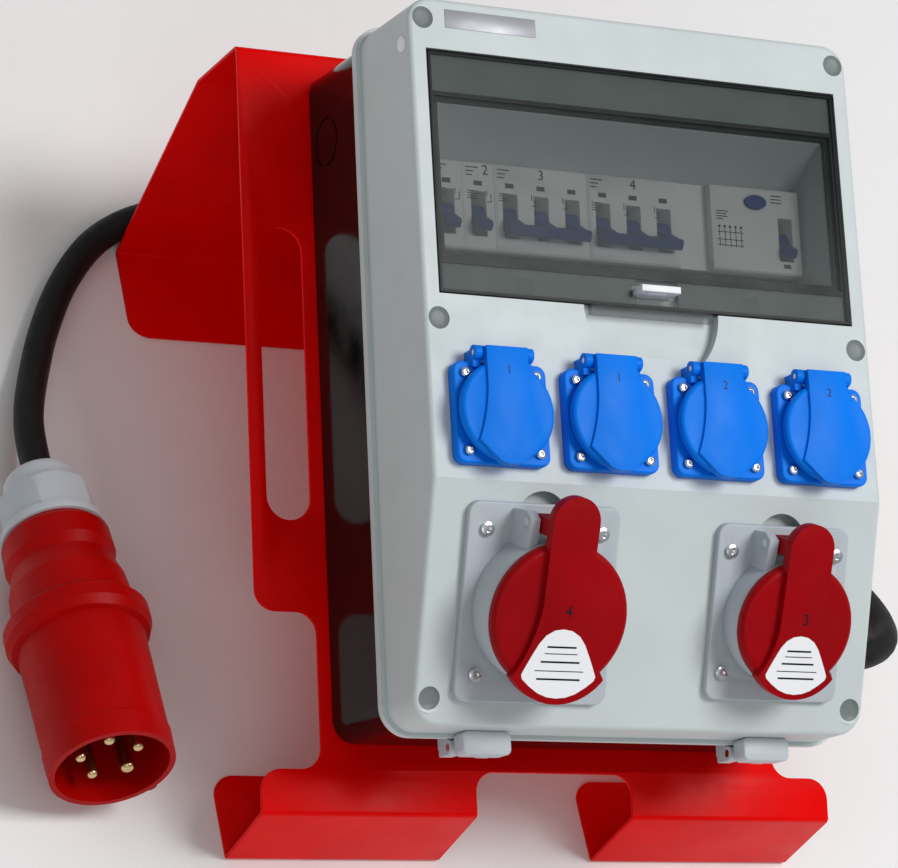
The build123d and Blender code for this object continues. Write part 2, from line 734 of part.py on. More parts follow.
def socket_lid(x):
    face = on(upper_face, x, socket_above_knee)
    low = socket_collar_top + seal_gap
    with BuildPart() as lid:
        with BuildSketch(on(face, 0, 0, low)):
            Circle(socket_lid_radius)
        extrude(amount=socket_lid_thickness)
        rim = lid.faces().sort_by(Axis(face.origin, face.z_dir))[-1].edges()
        fillet(rim, 2.4)
        # raised tongue, wider towards the finger end
        with BuildSketch(on(face, 0, 0, low + 0.6)):
            with BuildLine():
                Line((-11, pin_up), (11, pin_up))
                Line((11, pin_up), (11, 12))
                ThreePointArc((11, 12), (12.4, 0), (17, -15.5))
                Line((17, -15.5), (6, -25.5))
                ThreePointArc((6, -25.5), (0, -26.6), (-6, -25.5))
                Line((-6, -25.5), (-17, -15.5))
                ThreePointArc((-17, -15.5), (-12.4, 0), (-11, 12))
                Line((-11, 12), (-11, pin_up))
            make_face()
        extrude(amount=socket_lid_thickness + 0.9)
        # hinge barrel
        with BuildSketch(side(on(face, -11, pin_up, pin_out))):
            Circle(3.5)
            with Locations((0, (low + socket_lid_thickness + 1.5 - pin_out) / 2)):
                Rectangle(5, low + socket_lid_thickness + 1.5 - pin_out)
        extrude(amount=22)
        with BuildSketch(side(on(face, 0, pin_up, pin_out))):
            Circle(socket_pin_radius + running)
        extrude(amount=20, both=True, mode=Mode.SUBTRACT)
    return lid.part


for number, socket_x in enumerate(socket_xs, 1):
    save(socket_body(socket_x), f"blue_socket_{number}_body")
    save(socket_lid(socket_x), f"blue_socket_{number}_lid")


with BuildPart() as blue_socket_screws:
    for socket_x in socket_xs:
        screw_plane = on(upper_face, socket_x, socket_above_knee, socket_flange_height)
        with BuildSketch(screw_plane):
            with GridLocations(socket_screws, socket_screws, 2, 2):
                Circle(2.5)
        extrude(amount=screw_head_height)
        with BuildSketch(screw_plane):
            with GridLocations(socket_screws, socket_screws, 2, 2):
                Circle(1.5)
        extrude(amount=-screw_length)
save(blue_socket_screws.part, "blue_socket_screws")

with BuildPart() as blue_socket_pins:
    for socket_x in socket_xs:
        with BuildSketch(side(on(upper_face, socket_x - 15.6, socket_above_knee + pin_up, pin_out))):
            Circle(socket_pin_radius)
        extrude(amount=31.2)
save(blue_socket_pins.part, "blue_socket_pins")

with BuildPart() as earth_clips:
    for socket_x in socket_xs:
        for end in (-1, 1):
            with BuildSketch(on(upper_face, socket_x, socket_above_knee + end * (socket_well_radius + 0.4),
                                socket_well_floor + 0.2)):
                Rectangle(5, 1.2)
            extrude(amount=13)
save(earth_clips.part, "earth_clips")

# ================= red industrial sockets =================


def cee_frames(spec):
    """The flange's plane and the plane of the collar's mouth."""
    x, below, flange_w, flange_h, screw_w, screw_h, radius, mouth_up, pin_y, pin_z, tab = spec
    face = on(lower_face, x, -below)
    return face, on(face, 0, -cee_drop, mouth_up, cee_tilt)


def cee_flange(spec):
    """Screwed plate with the two ears that hold the lid's pin."""
    face, mouth = cee_frames(spec)
    x, below, flange_w, flange_h, screw_w, screw_h, radius, mouth_up, pin_y, pin_z, tab = spec
    with BuildPart() as flange:
        with BuildSketch(face):
            RectangleRounded(flange_w, flange_h, 6)
        extrude(amount=cee_flange_height)
        rim = flange.faces().sort_by(Axis(face.origin, face.z_dir))[-1].edges()
        fillet(rim, 1.0)
        for ear_x in (-ear_inner - ear_thickness, ear_inner):
            with BuildSketch(side(on(face, ear_x, 0, 0))):
                with BuildLine():
                    Polyline(
                        (radius - 14, 1), (pin_y + 5.5, 1), (pin_y + 5.5, pin_z), (pin_y + 2, pin_z + 5.5),
                        (radius - 8, mouth_up - 0.8), (radius - 14, mouth_up - 3), close=True,
                    )
                make_face()
            extrude(amount=ear_thickness)
        with BuildSketch(mouth):
            Circle(radius)
        extrude(amount=-mouth_up - cee_back, mode=Mode.SUBTRACT)
        with BuildSketch(side(on(face, 0, pin_y, pin_z))):
            Circle(cee_pin_radius)
        extrude(amount=ear_inner + ear_thickness, both=True, mode=Mode.SUBTRACT)
        with BuildSketch(face):
            with GridLocations(screw_w, screw_h, 2, 2):
                Circle(1.9)
        extrude(amount=cee_flange_height, mode=Mode.SUBTRACT)
    return flange.part


def cee_collar(spec):
    """Tilted round cup that stands through the flange, closed at the back."""
    face, mouth = cee_frames(spec)
    radius = spec[6]
    depth = spec[7] + cee_back
    with BuildPart() as collar:
        with BuildSketch(mouth):
            Circle(radius)
        extrude(amount=-depth)
        with BuildSketch(mouth):
            Circle(radius - cee_wall)
        extrude(amount=-depth + 4, mode=Mode.SUBTRACT)
    return collar.part


def cee_contacts(spec):
    """Round insert with five contact holes, seated on the floor of the collar."""
    face, mouth = cee_frames(spec)
    radius = spec[6] - cee_wall - nose_gap
    depth = spec[7] + cee_back - 4
    with BuildPart() as insert:
        with BuildSketch(on(mouth, 0, 0, -depth)):
            Circle(radius)
        extrude(amount=depth - 4)
        with BuildSketch(on(mouth, 0, 0, -4)):
            with PolarLocations(radius * 0.62, 4, start_angle=-18, angular_range=288):
                Circle(3.3)
            with Locations((0, -radius * 0.62)):
                Circle(4.0)
        extrude(amount=-24, mode=Mode.SUBTRACT)
    return insert.part


def cee_lid(spec):
    face, mouth = cee_frames(spec)
    x, below, flange_w, flange_h, screw_w, screw_h, radius, mouth_up, pin_y, pin_z, tab = spec
    disc = radius + 0.6
    pivot = on(face, 0, pin_y, pin_z)
    pin_local = mouth.to_local_coords(pivot.origin)
    tab_top = tab + cee_drop + 2
    with BuildPart() as lid:
        with BuildSketch(on(mouth, 0, 0, cee_lid_gap)):
            Circle(disc)
        extrude(amount=5.6)
        rim = lid.faces().sort_by(Axis(mouth.origin, mouth.z_dir))[-1].edges()
        fillet(rim, 3.2)
        # raised tongue, flaring round the label, with the finger tab above the pin
        with BuildSketch(on(mouth, 0, 0, cee_lid_gap + 3.0)):
            with BuildLine():
                tab_low = tab_top - tongue_half
                ThreePointArc((tongue_half, tab_low), (0, tab_top), (-tongue_half, tab_low))
                Line((-tongue_half, tab_low), (-tongue_half, 6))
                ThreePointArc((-tongue_half, 6), (-0.45 * disc, -0.32 * disc), (-0.68 * disc, -0.78 * disc))
                ThreePointArc((-0.68 * disc, -0.78 * disc), (0, -1.13 * disc), (0.68 * disc, -0.78 * disc))
                ThreePointArc((0.68 * disc, -0.78 * disc), (0.45 * disc, -0.32 * disc), (tongue_half, 6))
                Line((tongue_half, 6), (tongue_half, tab_low))
            make_face()
        extrude(amount=6.0)
        # web down to the pin
        with BuildSketch(side(on(mouth, -tongue_half, pin_local.Y, pin_local.Z))):
            Circle(4.6)
            with Locations((0, (cee_lid_gap + 6 - pin_local.Z) / 2)):
                Rectangle(8.2, cee_lid_gap + 6 - pin_local.Z)
        extrude(amount=2 * tongue_half)
        with BuildSketch(side(pivot)):
            Circle(cee_pin_radius + running)
        extrude(amount=ear_inner + ear_thickness, both=True, mode=Mode.SUBTRACT)
    return lid.part


for cee_name, spec in cee_specs.items():
    save(cee_flange(spec), f"{cee_name}_flange")
    save(cee_collar(spec), f"{cee_name}_collar")
    save(cee_contacts(spec), f"{cee_name}_contacts")
    save(cee_lid(spec), f"{cee_name}_lid")

with BuildPart() as red_socket_screws:
    for spec in cee_specs.values():
        screw_plane = on(lower_face, spec[0], -spec[1], cee_flange_height)
        with BuildSketch(screw_plane):
            with GridLocations(spec[4], spec[5], 2, 2):
                Circle(3.4)
        extrude(amount=screw_head_height)
        with BuildSketch(screw_plane):
            with GridLocations(spec[4], spec[5], 2, 2):
                Circle(1.8)
        extrude(amount=-screw_length)
save(red_socket_screws.part, "red_socket_screws")

with BuildPart() as red_socket_pins:
    for spec in cee_specs.values():
        pin_face = on(lower_face, spec[0] - ear_inner - ear_thickness, -spec[1])
        with BuildSketch(side(on(pin_face, 0, spec[8], spec[9]))):
            Circle(cee_pin_radius)
        extrude(amount=2 * (ear_inner + ear_thickness))
save(red_socket_pins.part, "red_socket_pins")

# ================= hinges between lid and base =================
half_hinge = hinge_width / 2
with BuildPart() as base_hinge_halves:
    for sign in (-1, 1):
        for start in (-half_hinge, knuckle + 0.3):
            with BuildSketch(side(on(panel, sign * hinge_x + start, hinge_up, hinge_height))):
                Circle(hinge_barrel)
                base_side = box_centre - base_height / 2 - hinge_up
                with Locations((base_side / 2, -6)):
                    Rectangle(base_side, 9)
                with Locations((0, -5)):
                    Rectangle(2 * hinge_barrel, 9)
                Circle(hinge_pin_radius, mode=Mode.SUBTRACT)
            extrude(amount=half_hinge - knuckle - 0.3)
        with BuildSketch(side(on(panel, sign * hinge_x - half_hinge, hinge_up, hinge_height))):
            with Locations((base_side / 2 + 1, -8)):
                Rectangle(base_side - 2, 5)
        extrude(amount=hinge_width)
save(base_hinge_halves.part, "base_hinge_halves")

with BuildPart() as lid_hinge_halves:
    for sign in (-1, 1):
        with BuildSketch(side(on(panel, sign * hinge_x - knuckle, hinge_up, hinge_height))):
            Circle(hinge_barrel)
            with Locations((0, 5)):
                Rectangle(2 * hinge_barrel, 10)
            Circle(hinge_pin_radius + running, mode=Mode.SUBTRACT)
        extrude(amount=2 * knuckle)
        with BuildSketch(on(panel, sign * hinge_x, lid_low - fit_gap - cover_height / 2, hinge_height + 6.6)):
            RectangleRounded(hinge_width, cover_height, 3)
        extrude(amount=10.5)
save(lid_hinge_halves.part, "lid_hinge_halves")

with BuildPart() as hinge_pins:
    for sign in (-1, 1):
        with BuildSketch(side(on(panel, sign * hinge_x - half_hinge, hinge_up, hinge_height))):
            Circle(hinge_pin_radius)
        extrude(amount=hinge_width)
save(hinge_pins.part, "hinge_pins")

# ================= gland =================
gland_axis = Plane(
    origin=panel.from_local_coords((base_width / 2, gland_up, gland_height)),
    x_dir=panel.y_dir,
    z_dir=panel.x_dir,
)
with BuildPart() as inlet_gland:
    with BuildSketch(gland_axis):
        RegularPolygon(19, 6)
    extrude(amount=6)
    with BuildSketch(gland_axis):
        Circle(gland_thread_radius)
    extrude(amount=-14)
    with BuildSketch(on(gland_axis, 0, 0, -14)):
        Circle(11)
    extrude(amount=20, mode=Mode.SUBTRACT)
save(inlet_gland.part, "inlet_gland")

with BuildPart() as gland_dome_nut:
    with BuildSketch(on(gland_axis, 0, 0, 6)):
        RegularPolygon(17.5, 6)
    extrude(amount=6)
    with BuildSketch(on(gland_axis, 0, 0, 12)):
        Circle(14.5)
    with BuildSketch(on(gland_axis, 0, 0, gland_face - base_width / 2)):
        Circle(10.5)
    loft()
save(gland_dome_nut.part, "gland_dome_nut")

with BuildPart() as gland_locknut:
    with BuildSketch(on(gland_axis, 0, 0, -base_wall)):
        RegularPolygon(20, 6)
        Circle(gland_thread_radius + fit_gap, mode=Mode.SUBTRACT)
    extrude(amount=-5)
save(gland_locknut.part, "gland_locknut")

# ================= supply cable =================
rear = Vector(plug_rear[0], foot_y + plug_rear[1], plug_rear[2])
mouth_end = Vector(plug_mouth[0], foot_y + plug_mouth[1], plug_mouth[2])
plug_axis = (mouth_end - rear).normalized()
plug = Plane(origin=rear, x_dir=plug_axis.cross(Vector(0, 0, 1)), z_dir=plug_axis)
gland_mouth = panel.from_local_coords((gland_face, gland_up, gland_height))
wide = panel_half_width / 163.0  # the route keeps clear of the stand when its sizes change
deep = bracket_knee[0] / 385.5
# stretch down beside the box: x, back from the foot edge, down from the gland
falling = [
    (178.0, 71.1, 3.4), (194.0, 82.1, 9.4), (203.0, 99.1, 20.4), (208.0, 120.1, 34.4),
    (210.5, 146.1, 52.4), (213.0, 180.1, 74.4), (216.0, 217.1, 91.4), (218.0, 257.1, 100.4),
]
# stretch on the floor behind the stand: x, back from the foot edge
lying = [
    (217.0, 299.1), (206.0, 341.1), (180.0, 376.1), (142.0, 398.1), (97.0, 408.1), (50.0, 411.1),
    (3.0, 410.1), (-45.0, 407.3), (-92.0, 404.1), (-135.0, 395.5), (-174.0, 376.5), (-200.0, 343.5),
]
# stretch that rises to the plug: x, back from the foot edge, above the floor
rising = [(-217.0, 308.1, 0.2), (-228.0, 276.5, 2.8), (-236.0, 251.5, 7.8)]
cable_points = [(gland_face, gland_mouth.Y, gland_mouth.Z)]
cable_points += [(gland_face + 18.0, gland_mouth.Y, gland_mouth.Z)]
cable_points += [(x * wide, foot_y + back * deep, gland_mouth.Z - down) for x, back, down in falling]
cable_points += [(x * wide, foot_y + back * deep, cable_rest) for x, back in lying]
cable_points += [(x * wide, foot_y + back * deep, cable_rest + up) for x, back, up in rising]
cable_points += [tuple(rear - plug_axis * 24), tuple(rear)]


def bend_radii(points):
    """The largest arc at each corner that leaves a tenth of the shorter run straight."""
    radii = []
    for before, corner, after in zip(points, points[1:], points[2:]):
        arriving = Vector(*corner) - Vector(*before)
        leaving = Vector(*after) - Vector(*corner)
        half_turn = math.radians(arriving.get_angle(leaving)) / 2
        radii.append(0.45 * min(arriving.length, leaving.length) / math.tan(half_turn))
    return radii


cable_radii = bend_radii(cable_points)
print("cable radii", [round(r) for r in cable_radii])
with BuildPart() as supply_cable:
    with BuildLine() as cable_route:
        FilletPolyline(*cable_points, radius=cable_radii)
    cable_path = cable_route.wire()
    with BuildSketch(Plane(origin=cable_points[0], z_dir=cable_path % 0)):
        Circle(cable_radius)
    sweep(path=cable_path)
cable_length = cable_path.length
print("cable length", round(cable_length), "volume ratio",
      round(supply_cable.part.volume / (math.pi * cable_radius ** 2 * cable_length), 4))
save(supply_cable.part, "supply_cable")

# ================= plug =================
# section plane of the plug: its x runs out from the axis, its y along the axis
plug_section = Plane(origin=rear, x_dir=plug.x_dir, z_dir=plug.x_dir.cross(plug_axis))

with BuildPart() as plug_clamp_nut:
    with BuildSketch(plug_section):
        with BuildLine():
            Line((0, 0), (13, 0))
            ThreePointArc((13, 0), (18, 2.5), (20, 8))
            Line((20, 8), (21, 12))
            Line((21, 12), (25.5, 17))
            Line((25.5, 17), (27, nut_end))
            Line((27, nut_end), (0, nut_end))
            Line((0, nut_end), (0, 0))
        make_face()
    revolve(axis=Axis(plug.origin, plug.z_dir))
    with BuildSketch(on(plug, 0, 0, 12)):
        Circle(40)
        RegularPolygon(26.5, 6, mode=Mode.SUBTRACT)
    extrude(amount=nut_end - 17, mode=Mode.SUBTRACT)
save(plug_clamp_nut.part, "plug_clamp_nut")

with BuildPart() as plug_body:
    with BuildSketch(plug_section):
        with BuildLine():
            Polyline(
                (0, nut_end), (25, nut_end), (28, nut_end + 4), (28.5, nut_end + 16), (26.5, nut_end + 22),
                (30, nut_end + 34), (31.5, plug_collar_at - 8), (34, plug_collar_at - 6),
                (plug_collar_radius, plug_collar_at - 3), (plug_collar_radius, plug_collar_at + 4),
                (35.0, plug_collar_at + 9), (plug_nose_radius + 0.8, plug_collar_at + 10),
                (plug_nose_radius, plug_length - 14), (plug_nose_radius + 0.6, plug_length - 13),
                (plug_nose_radius, plug_length), (plug_nose_radius - 3, plug_length),
                (plug_nose_radius - 3.4, plug_collar_at + 24), (0, plug_collar_at + 24), close=True,
            )
        make_face()
    revolve(axis=Axis(plug.origin, plug.z_dir))
    # locating key along the underside of the nose
    with BuildSketch(on(plug, 0, 0, plug_length - 26)):
        with Locations(Location((0, 0, 0), (0, 0, earth_turn))):
            with Locations((plug_nose_radius + 1.4, 0)):
                RectangleRounded(5, 6, 2)
    extrude(amount=24)
save(plug_body.part, "plug_body")

with BuildPart() as plug_contact_carrier:
    with BuildSketch(on(plug, 0, 0, plug_collar_at + 24)):
        Circle(plug_nose_radius - 4)
    extrude(amount=5)
save(plug_contact_carrier.part, "plug_contact_carrier")

pin_foot = plug_collar_at + 29
with BuildPart() as plug_pins:
    with BuildSketch(on(plug, 0, 0, pin_foot)):
        with PolarLocations(pin_circle, 4, start_angle=earth_turn + 72, angular_range=288):
            Circle(3.0)
        with PolarLocations(pin_circle, 1, start_angle=earth_turn):
            Circle(3.8)
    extrude(amount=pin_end - pin_foot)
    pin_ends = plug_pins.faces().sort_by(Axis(plug.origin, plug.z_dir))[-5:]
    fillet(pin_ends.edges(), 2.2)
save(plug_pins.part, "plug_pins")
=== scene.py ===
import math

import bmesh
import bpy
from mathutils import Matrix, Vector


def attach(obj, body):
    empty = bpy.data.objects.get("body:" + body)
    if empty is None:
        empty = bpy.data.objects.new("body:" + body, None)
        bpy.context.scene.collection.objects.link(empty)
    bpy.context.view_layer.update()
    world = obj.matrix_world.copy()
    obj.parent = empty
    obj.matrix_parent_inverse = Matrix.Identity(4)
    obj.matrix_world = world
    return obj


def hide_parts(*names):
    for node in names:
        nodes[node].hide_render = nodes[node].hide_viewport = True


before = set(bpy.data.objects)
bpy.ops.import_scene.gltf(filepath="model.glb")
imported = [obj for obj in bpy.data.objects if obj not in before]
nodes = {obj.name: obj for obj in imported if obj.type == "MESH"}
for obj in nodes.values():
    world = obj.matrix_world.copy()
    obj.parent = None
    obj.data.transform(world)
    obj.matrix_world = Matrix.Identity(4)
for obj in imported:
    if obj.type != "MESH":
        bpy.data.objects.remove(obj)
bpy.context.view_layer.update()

MM = 0.001

# ---- the part's own planes, millimetres turned into metres ----
TILT = 20.0
FOOT_DROP = 48.0
FOOT_Y = -188.75
KNEE = 162.0
KNEE_HEIGHT = 127.0
UPPER_SLOPE = -1.27
LOWER_SLOPE = 16.6
ROW_CENTRE = KNEE + 145.0 * math.cos(math.radians(1.27))
NOSE_FRONT = 97.3
MODULE = 17.5
ROW_START = -105.0
SOCKET_PITCH = 59.8
SOCKET_UP = 31.25
SOCKET_SCREWS = 38.0
SOCKET_LID_TOP = 14.72
CEE_BELOW = 58.0
CEE_DROP = 3.6
CEE_TILT = 5.0
CEE_LID_TOP = 9.3
DOOR_HALF = 116.1
DOOR_LOW = 91.5
DOOR_HIGH = 214.2
DOOR_EDGE = 2.0
BAND_TOP = 192.5
BAND_FOOT = 108.0
SEAM_X = 113.6
SEAM_WIDTH = 1.1
CAP_X = 117.6
CAP_RADIUS = 5.5
CAP_HEIGHT = 3.6
CABLE_RADIUS = 8.0
PLATE_SIZE = (50.0, 9.5, 0.3)
LABEL_THICK = 0.25
# body, x, screw square, collar radius, mouth height, pin up the face, pin out of it, digit
CEE_SOCKETS = (
    ("32", -65.6, (62.4, 69.8), 35.5, 23.0, 40.0, 18.0, "4"),
    ("16", 68.5, (60.0, 60.2), 31.0, 18.2, 35.5, 14.5, "3"),
)


def spot(plane, x=0.0, y=0.0, z=0.0, turn_x=0.0):
    """A place on a plane, turned about its own X, as a matrix."""
    turned = Matrix.Rotation(math.radians(turn_x), 4, "X")
    return plane @ Matrix.Translation((x * MM, y * MM, z * MM)) @ turned


tilt = math.radians(TILT)
panel = Matrix.Translation((
    0, (FOOT_Y - FOOT_DROP * math.sin(tilt)) * MM, FOOT_DROP * math.cos(tilt) * MM,
)) @ Matrix.Rotation(tilt, 4, "X")
upper_face = spot(panel, 0, KNEE, KNEE_HEIGHT, UPPER_SLOPE)
lower_face = spot(panel, 0, KNEE, KNEE_HEIGHT, LOWER_SLOPE)

# ---- camera ----
RIGHT = Vector((0.89451, -0.1935, 0.403)).normalized()
BACK = Vector((-0.44338, -0.49922, 0.74444)).normalized()
UP = BACK.cross(RIGHT).normalized()
camera_data = bpy.data.cameras.new("camera")
camera_data.sensor_width = 36.0
camera_data.lens = 148.7
camera_data.clip_end = 30.0
camera = bpy.data.objects.new("camera", camera_data)
bpy.context.scene.collection.objects.link(camera)
camera.matrix_world = Matrix((
    (RIGHT.x, UP.x, BACK.x, -0.8958),
    (RIGHT.y, UP.y, BACK.y, -0.9546),
    (RIGHT.z, UP.z, BACK.z, 1.5363),
    (0, 0, 0, 1),
))
bpy.context.scene.camera = camera


# ================= materials =================
def named_input(shader, *names):
    for name in names:
        if name in shader.inputs:
            return shader.inputs[name]
    raise KeyError(names)


def surface(name, colour, darker=0.82, roughness=(0.35, 0.5), grain=900.0, bump=0.12, depth=0.0002,
            patches=18.0, metallic=0.0, coat=0.0, alpha=1.0, specular=0.25, dust=0.0):
    """A finish with broad tone patches, fine grain in the bump, uneven gloss and a little settled dust."""
    material = bpy.data.materials.new(name)
    material.use_nodes = True
    tree = material.node_tree
    shader = tree.nodes["Principled BSDF"]
    place = tree.nodes.new("ShaderNodeTexCoord")

    def noise(scale, detail=3.0, rough=0.55):
        node = tree.nodes.new("ShaderNodeTexNoise")
        node.inputs["Scale"].default_value = scale
        node.inputs["Detail"].default_value = detail
        node.inputs["Roughness"].default_value = rough
        tree.links.new(place.outputs["Object"], node.inputs["Vector"])
        return node

    def ramp(source, low, high, first, last):
        node = tree.nodes.new("ShaderNodeValToRGB")
        node.color_ramp.elements[0].position = low
        node.color_ramp.elements[1].position = high
        node.color_ramp.elements[0].color = first
        node.color_ramp.elements[1].color = last
        tree.links.new(source, node.inputs["Fac"])
        return node

    light = (*colour[:3], 1)
    dark = (*[c * darker for c in colour[:3]], 1)
    tone = ramp(noise(patches).outputs["Fac"], 0.3, 0.62, dark, light)
    colour_out = tone.outputs["Color"]
    if dust:
        dusted = tree.nodes.new("ShaderNodeMix")
        dusted.data_type = "RGBA"
        amount = ramp(noise(140.0, 6.0, 0.7).outputs["Fac"], 0.56, 0.72, (0, 0, 0, 1), (dust, dust, dust, 1))
        tree.links.new(amount.outputs["Color"], dusted.inputs["Factor"])
        tree.links.new(colour_out, dusted.inputs[6])
        dusted.inputs[7].default_value = (0.5, 0.48, 0.45, 1)
        colour_out = dusted.outputs[2]
    tree.links.new(colour_out, shader.inputs["Base Color"])
    low, high = roughness
    gloss = ramp(noise(60.0, 5.0).outputs["Fac"], 0.35, 0.7, (low, low, low, 1), (high, high, high, 1))
    tree.links.new(gloss.outputs["Color"], shader.inputs["Roughness"])
    relief = tree.nodes.new("ShaderNodeBump")
    relief.inputs["Strength"].default_value = bump
    relief.inputs["Distance"].default_value = depth
    tree.links.new(noise(grain, 2.0).outputs["Fac"], relief.inputs["Height"])
    tree.links.new(relief.outputs["Normal"], shader.inputs["Normal"])
    shader.inputs["Metallic"].default_value = metallic
    named_input(shader, "Specular IOR Level", "Specular").default_value = specular
    named_input(shader, "Coat Weight", "Coat").default_value = coat
    shader.inputs["Alpha"].default_value = alpha
    return material


powder_red = surface("powder_red", (0.86, 0.0, 0.0), 0.88, (0.3, 0.42), 700.0, 0.1, specular=0.08)
base_black = surface("base_black", (0.006, 0.006, 0.006), 0.7, (0.08, 0.2), 1500.0, 0.03, specular=0.3)
lid_grey = surface("lid_grey", (0.575, 0.635, 0.640), 0.94, (0.40, 0.52), 1600.0, 0.18, specular=0.35)
cap_grey = surface("cap_grey", (0.185, 0.215, 0.215), 0.88, (0.38, 0.5), 1400.0, 0.14, specular=0.3)
hinge_grey = surface("hinge_grey", (0.53, 0.57, 0.61), 0.95, (0.34, 0.46), 1500.0, 0.12)
steel = surface("zinc_steel", (0.72, 0.74, 0.77), 0.85, (0.16, 0.32), 2600.0, 0.15, metallic=1.0)
brass = surface("turned_brass", (0.76, 0.58, 0.30), 0.85, (0.18, 0.34), 2400.0, 0.12, metallic=1.0)
device_grey = surface("device_grey", (0.74, 0.77, 0.76), 0.96, (0.42, 0.55), 1800.0, 0.12)
toggle_blue = surface("toggle_blue", (0.0, 0.035, 0.21), 0.85, (0.4, 0.52), 1600.0, 0.1, specular=0.1)
button_blue = surface("button_blue", (0.004, 0.03, 0.26), 0.85, (0.4, 0.5), 1600.0, 0.1, specular=0.1)
socket_blue = surface("socket_blue", (0.0, 0.200, 0.88), 0.9, (0.36, 0.48), 1500.0, 0.14, specular=0.09)
housing_grey = surface("housing_grey", (0.47, 0.515, 0.555), 0.94, (0.34, 0.48), 1600.0, 0.14)
crimson = surface("crimson", (0.33, 0.0, 0.003), 0.8, (0.36, 0.48), 1300.0, 0.2, specular=0.1)
plug_red = surface("plug_red", (0.44, 0.0, 0.0), 0.8, (0.38, 0.5), 1300.0, 0.2, specular=0.1)
contact_dark = surface("contact_dark", (0.03, 0.03, 0.032), 0.8, (0.5, 0.65), 1500.0, 0.15)
smoke = surface("smoke_clear", (0.006, 0.016, 0.013), 0.96, (0.12, 0.18), 300.0, 0.02, alpha=0.33, specular=0.12)
# painted shade: a grey half-clear veil for the door's outer bands, standing in for the shaded pocket behind them
band_painted_shade = surface("painted_shade_band", (0.22, 0.265, 0.25), 0.85, (0.5, 0.65), 260.0, 0.1, alpha=0.5, patches=40.0,
                     specular=0.1)
rim_dark = surface("rim_dark", (0.004, 0.005, 0.005), 0.8, (0.3, 0.45), 1200.0, 0.05, specular=0.12)
seal_black = surface("seal_black", (0.008, 0.008, 0.008), 0.8, (0.55, 0.7), 1500.0, 0.2)
cable_rubber = surface("cable_rubber", (0.006, 0.006, 0.007), 0.75, (0.5, 0.68), 1400.0, 0.3, dust=0.01)
white_print = surface("label_white", (0.88, 0.89, 0.92), 0.97, (0.35, 0.45), 900.0, 0.03)
silver_label = surface("label_silver", (0.36, 0.37, 0.40), 0.85, (0.32, 0.45), 900.0, 0.03, metallic=0.2)
ink = surface("print_ink", (0.008, 0.009, 0.012), 0.9, (0.5, 0.6), 900.0, 0.02, specular=0.1)
green = surface("indicator_green", (0.0, 0.05, 0.025), 0.8, (0.4, 0.5), 900.0, 0.02, specular=0.1)
navy_ink = surface("print_navy", (0.01, 0.02, 0.09), 0.9, (0.5, 0.6), 900.0, 0.02)

NODE_FINISH = {
    powder_red: ("stand_frame",),
    base_black: ("enclosure_base", "inlet_gland", "gland_dome_nut", "gland_locknut"),
    lid_grey: ("lid_shell",),
    cap_grey: ("screw_caps",),
    hinge_grey: ("lid_hinge_halves", "base_hinge_halves", "plug_clamp_nut"),
    steel: ("mounting_bolts", "lid_screws", "blue_socket_screws", "red_socket_screws", "blue_socket_pins",
            "red_socket_pins", "hinge_pins", "din_rail"),
    brass: ("neutral_bar", "earth_bar", "earth_clips", "plug_pins"),
    device_grey: ("breaker_1_body", "breaker_2_body", "breaker_3_body", "breaker_4_body", "blanking_module",
                  "rcd_body"),
    white_print: ("padlock_eye",),
    toggle_blue: ("breaker_1_toggle", "breaker_2_toggle", "breaker_3_toggle", "breaker_4_toggle", "rcd_toggle"),
    button_blue: ("test_button",),
    socket_blue: tuple(f"blue_socket_{i}_{part}" for i in range(1, 5) for part in ("body", "lid")),
    housing_grey: ("cee_32_flange", "cee_16_flange", "cee_32_collar", "cee_16_collar"),
    crimson: ("cee_32_lid", "cee_16_lid"),
    plug_red: ("plug_body",),
    contact_dark: ("cee_32_contacts", "cee_16_contacts", "plug_contact_carrier", "terminal_carriers"),
    smoke: ("window_door",),
    rim_dark: ("door_catches",),
    seal_black: ("window_seal", "lid_seal"),
    cable_rubber: ("supply_cable",),
}
for finish, names in NODE_FINISH.items():
    for name in names:
        if not nodes[name].material_slots:
            nodes[name].data.materials.append(finish)
        for place in nodes[name].material_slots:
            place.material = finish


# ================= ways of working =================
def deselect_all():
    for thing in list(bpy.context.selected_objects):
        thing.select_set(False)


def only(piece):
    deselect_all()
    piece.select_set(True)
    bpy.context.view_layer.objects.active = piece


def started(name):
    """The primitive just added, named and free of its old name."""
    piece = bpy.context.active_object
    piece.name = name
    piece.data.name = name
    return piece


def shaped(piece, *steps):
    """Runs edit-mode steps: each is a test that picks faces by centre and normal, and what to do with them."""
    only(piece)
    bpy.ops.object.mode_set(mode="EDIT")
    bpy.ops.mesh.select_mode(type="FACE")
    for test, action in steps:
        mesh = bmesh.from_edit_mesh(piece.data)
        for face in mesh.faces:
            face.select_set(False)
        for face in mesh.faces:
            if test(face):
                face.select_set(True)
        mesh.select_flush_mode()
        bmesh.update_edit_mesh(piece.data)
        action()
    bpy.ops.object.mode_set(mode="OBJECT")
    return piece


def rounded(piece, width, segments=2, angle=35.0):
    """A bevel on the sharp edges, applied, and shading that stays crisp at them."""
    only(piece)
    edge = piece.modifiers.new("edges", "BEVEL")
    edge.width = width * MM
    edge.segments = segments
    edge.limit_method = "ANGLE"
    edge.angle_limit = math.radians(angle)
    edge.harden_normals = False
    bpy.ops.object.modifier_apply(modifier=edge.name)
    bpy.ops.object.shade_smooth_by_angle(angle=math.radians(38))
    return piece


def put(piece, place):
    """Moves the mesh to its place and leaves the object at the origin."""
    bpy.context.view_layer.update()
    piece.data.transform(place @ piece.matrix_world)
    piece.matrix_world = Matrix.Identity(4)
    return piece


def joined(pieces, name):
    deselect_all()
    for piece in pieces:
        piece.select_set(True)
    bpy.context.view_layer.objects.active = pieces[0]
    if len(pieces) > 1:
        bpy.ops.object.join()
    return started(name)


